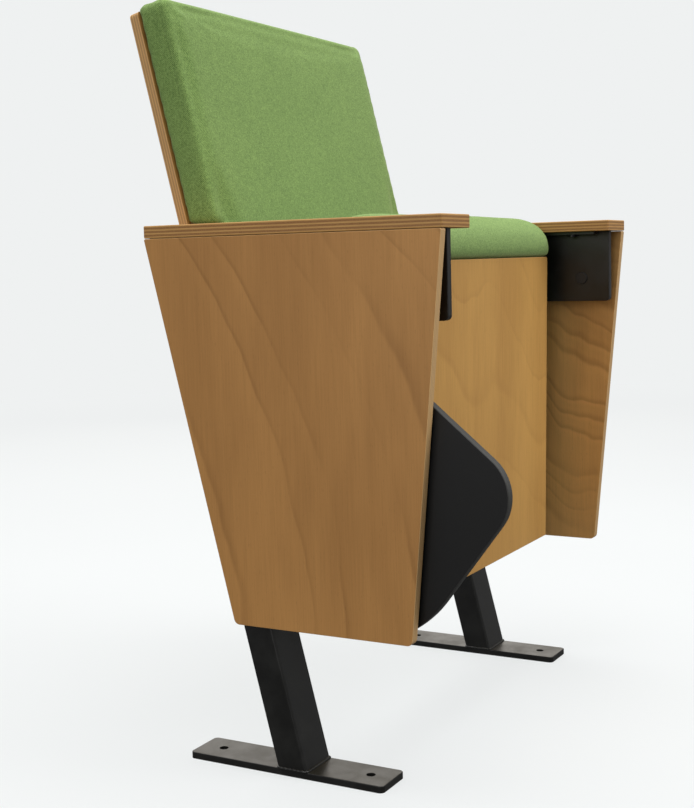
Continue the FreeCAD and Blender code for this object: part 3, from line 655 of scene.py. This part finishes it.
def rounded_loop(middle, half_x, half_y, corner, step):
    """Evenly spaced points round a rounded rectangle, lying flat."""
    points = []
    corners = ((1, 1, 0), (-1, 1, 90), (-1, -1, 180), (1, -1, 270))
    for sign_x, sign_y, start in corners:
        centre = middle + Vector((sign_x * (half_x - corner), sign_y * (half_y - corner), 0))
        for turn in range(0, 91, 30):
            angle = math.radians(start + turn)
            points.append(centre + Vector((math.cos(angle), math.sin(angle), 0)) * corner)
    spaced = []
    for index, point in enumerate(points):
        following = points[(index + 1) % len(points)]
        pieces = max(1, round((following - point).length / step))
        for part in range(pieces):
            spaced.append(point.lerp(following, part / pieces))
    return spaced


# ---- stage, light and camera -----------------------------------------------------------------

PAPER = colour(239, 241, 241)
GLOW = colour(211, 213, 213)
BLACK = (0, 0, 0, 1)
STAGE_RADIUS = 30


def stage():
    """Pale floor that fades into a pale backdrop all round."""
    graph = Graph("floor")
    cloud = graph.noise(graph.place, scale=1.2, detail=2.0)
    shown = graph.mix(cloud, (0.19, 0.195, 0.195, 1), (0.21, 0.215, 0.215, 1))
    far = graph.spread(graph.length(graph.place), 1.2, 4.5)
    shade = graph.mix(far, shown, BLACK)
    material = graph.surface(Base_Color=shade, Roughness=0.9, Specular_IOR_Level=0.0,
                             Emission_Color=graph.mix(far, GLOW, PAPER), Emission_Strength=1.0)
    bpy.ops.mesh.primitive_circle_add(vertices=96, radius=STAGE_RADIUS, fill_type="NGON")
    floor = bpy.context.object
    floor.name = "floor"
    floor.data.materials.append(material)

    graph = Graph("backdrop")
    material = graph.surface(Base_Color=BLACK, Specular_IOR_Level=0.0, Emission_Color=PAPER,
                             Emission_Strength=1.0)
    bpy.ops.mesh.primitive_uv_sphere_add(segments=64, ring_count=32, radius=STAGE_RADIUS)
    backdrop = bpy.context.object
    backdrop.name = "backdrop"
    backdrop.data.materials.append(material)
    for piece in (floor, backdrop):
        piece.visible_diffuse = False
        piece.visible_glossy = False
        piece.visible_transmission = False
    backdrop.visible_shadow = False


def area_light(name, place, target, size, power, tint=(1, 1, 1)):
    """Rectangular lamp at a place, turned to a target."""
    data = bpy.data.lights.new(name, "AREA")
    data.shape = "RECTANGLE"
    data.size, data.size_y = size
    data.energy = power
    data.color = tint
    light = bpy.data.objects.new(name, data)
    light.location = place
    light.rotation_euler = (Vector(target) - Vector(place)).to_track_quat("-Z", "Y").to_euler()
    light.visible_camera = False
    scene.collection.objects.link(light)


def lights():
    """Soft studio light, strongest from the front and above."""
    area_light("key", (0.9, -3.0, 2.8), (0, 0, 0.5), (2.0, 2.0), 73)
    area_light("fill", (-3.4, 0.0, 1.2), (0, 0, 0.45), (2.5, 2.0), 30)
    area_light("top", (0.1, 0.2, 3.4), (0, 0, 0.5), (2.6, 2.6), 96)
    area_light("back", (1.2, 3.2, 2.0), (0, 0, 0.6), (2.2, 1.6), 22)
    area_light("gloss", (2.7, 1.6, 1.2), (0, 0, 0.2), (2.6, 1.6), 16, (1.0, 0.94, 0.84))
    world = bpy.data.worlds.new("studio")
    scene.world = world
    world.use_nodes = True
    tree = world.node_tree
    direction = tree.nodes.new("ShaderNodeTexCoord")
    height = tree.nodes.new("ShaderNodeSeparateXYZ")
    tree.links.new(direction.outputs["Generated"], height.inputs[0])
    ramp = tree.nodes.new("ShaderNodeMapRange")
    tree.links.new(height.outputs["Z"], ramp.inputs["Value"])
    for socket, value in (("From Min", -0.2), ("From Max", 0.2), ("To Min", 0.13), ("To Max", 0.42)):
        ramp.inputs[socket].default_value = value
    background = tree.nodes["Background"]
    background.inputs["Color"].default_value = (1, 1, 1, 1)
    tree.links.new(ramp.outputs["Result"], background.inputs["Strength"])
    scene.view_settings.view_transform = "Standard"


def camera():
    """Low view from the chair's front right corner."""
    place = (-1.5783, -0.81261, 0.59527)
    turn = (-60.87, -6.12, -1.53)
    lens = 60.07
    data = bpy.data.cameras.new("camera")
    data.lens = lens
    data.clip_end = 100
    view = bpy.data.objects.new("camera", data)
    scene.collection.objects.link(view)
    yaw, pitch, roll = (math.radians(angle) for angle in turn)
    flat = math.cos(pitch)
    forward = Vector((-math.sin(yaw) * flat, math.cos(yaw) * flat, math.sin(pitch)))
    right = Vector((math.cos(yaw), math.sin(yaw), 0))
    up = right.cross(forward)
    rolled_right = right * math.cos(roll) + up * math.sin(roll)
    rolled_up = up * math.cos(roll) - right * math.sin(roll)
    axes = Matrix((rolled_right, rolled_up, -forward)).transposed().to_4x4()
    view.matrix_world = Matrix.Translation(place) @ axes
    scene.camera = view


# ---- build ---------------------------------------------------------------------------------

def dress(material, *names):
    """Give CAD nodes a material."""
    for name in names:
        for material_slot in nodes[name].material_slots:
            material_slot.material = material


def nodes_of(slot):
    """CAD nodes that the record gives a material slot."""
    return [entry["node"] for entry in frame["record"]["subparts"] if entry["material_slot"] == slot]


ARCHED = {"lean": 1.0, "rise": 0.0, "bow": 0.95, "level": 0.21, "spacing": 0.074, "wander": 0.09,
          "sway": (4.5, 3.0), "line": 0.11, "fade": 0.10}
WAVY = {"lean": 0.55, "rise": 1.0, "bow": 0.0, "level": 0.0, "spacing": 0.034, "wander": 0.10,
        "sway": (11.0, 5.0), "line": 0.30, "fade": 0.25}
QUIET = {"lean": 0.35, "rise": 0.8, "bow": 0.0, "level": 0.0, "spacing": 0.090, "wander": 0.20,
         "sway": (6.0, 3.0), "line": 0.10, "fade": 0.25}
NARROW = {"lean": 1.0, "rise": 0.10, "bow": 0.25, "level": 0.0, "spacing": 0.024, "wander": 0.03,
          "sway": (6.0, 3.0), "line": 0.12, "fade": 0.25}
TALL = {"lean": 1.0, "rise": 0.05, "bow": 0.70, "level": 0.62, "spacing": 0.060, "wander": 0.08,
        "sway": (5.0, 3.0), "line": 0.08, "fade": 0.15}
MID_TONES = ((202, 148, 85), (136, 92, 45))
PALE_TONES = ((238, 183, 110), (162, 114, 60))
SEAT_TONES = ((222, 171, 95), (173, 122, 61))
ARM_TONES = ((182, 135, 76), (124, 84, 43))


def main():
    """Dress the CAD nodes and add the pieces that CAD only blocks out."""
    camera()
    lights()
    stage()
    black = powder_coat()
    dress(black, *nodes_of("black_powder_coat"))
    dress(zinc_steel(), *nodes_of("zinc_steel"))
    dress(black, "armrest_screws")
    dress(moulded("nylon", (15, 15, 16), 0.5), *nodes_of("black_nylon"))
    dress(moulded("rubber", (18, 18, 18), 0.75), *nodes_of("black_rubber"))
    dress(raw_ply(), *nodes_of("core_ply"))
    dress(tablet_laminate(), "tablet_board")
    boards = (
        ("side_panel_right", Z_AXIS, (14.0, MID_TONES, 0.12, WAVY), (2.0, MID_TONES, 0.20, ARCHED), 0.45),
        ("side_panel_left", Z_AXIS, (27.0, MID_TONES, 0.18, ARCHED), (7.0, PALE_TONES, 0.20, WAVY), 0.45),
        ("armrest_right", Y_AXIS, (11.0, ARM_TONES, 0.22, NARROW), (12.0, ARM_TONES, 0.22, NARROW), 0.0),
        ("armrest_left", Y_AXIS, (15.0, ARM_TONES, 0.22, NARROW), (16.0, ARM_TONES, 0.22, NARROW), 0.0),
        ("seat_underside_panel", Z_AXIS, (23.0, SEAT_TONES, 0.11, QUIET),
         (23.0, SEAT_TONES, 0.11, QUIET), 0.3),
        ("backrest_panel", Z_AXIS, (31.0, MID_TONES, 0.13, TALL), (33.0, MID_TONES, 0.13, TALL), 0.2),
    )
    for node, grain, front, back, paleness in boards:
        dress(plywood(node, grain, front, back, paleness), node)
    fabric = woven_fabric("green_fabric", (144, 173, 99), (74, 104, 48))
    thread = woven_fabric("thread", (120, 148, 82), (70, 98, 46))
    backrest_cushion(fabric, thread)
    seat_cushion(fabric)
    foot_welds(black)


main()
